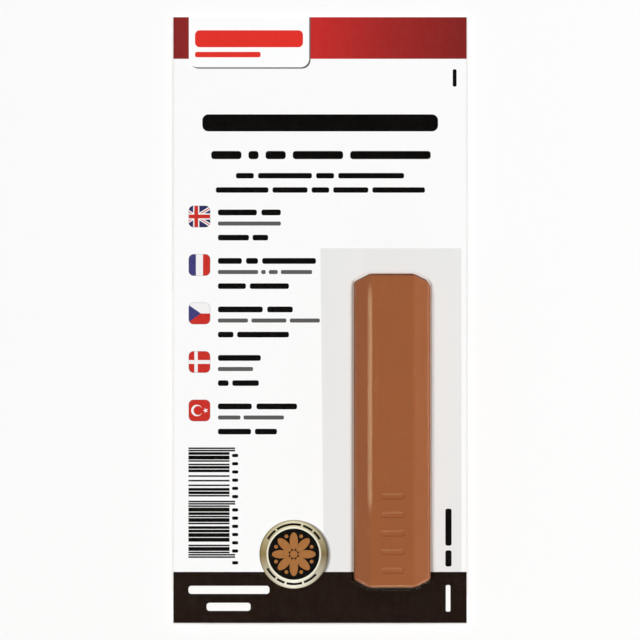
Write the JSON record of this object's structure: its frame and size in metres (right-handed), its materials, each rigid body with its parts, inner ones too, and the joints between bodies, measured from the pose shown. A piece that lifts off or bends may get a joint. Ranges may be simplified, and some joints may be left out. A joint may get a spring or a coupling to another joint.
{
  "type": "carded furniture repair wax stick",
  "caption": "Cast repair wax stick and flat spatula in the moulded pocket of a clear blister that slides on a printed card, lying on its back.",
  "frame": {"origin": "centre of the pack's outline, on the surface that its folded back edges lie on", "axes": "+Z out of the printed face towards the viewer, +Y towards the card's top edge, +X to the right of the printed face"},
  "size_m": [0.0778, 0.1578, 0.0121],
  "materials": {
    "carton": "satin",
    "gold_foil": "satin",
    "clear_film": "gloss",
    "wax": "satin",
    "spatula_plastic": "satin"
  },
  "bodies": {
    "blister": {"clear_blister": "clear_film", "wax_stick": "wax", "spatula": "spatula_plastic"},
    "card": {"printed_card": "carton", "foil_seal": "gold_foil"}
  },
  "joints": [
    {"name": "card_slide", "type": "slide", "parent": "blister", "child": "card", "axis": [0, 1, 0], "range_m": [0, 0.14]}
  ]
}
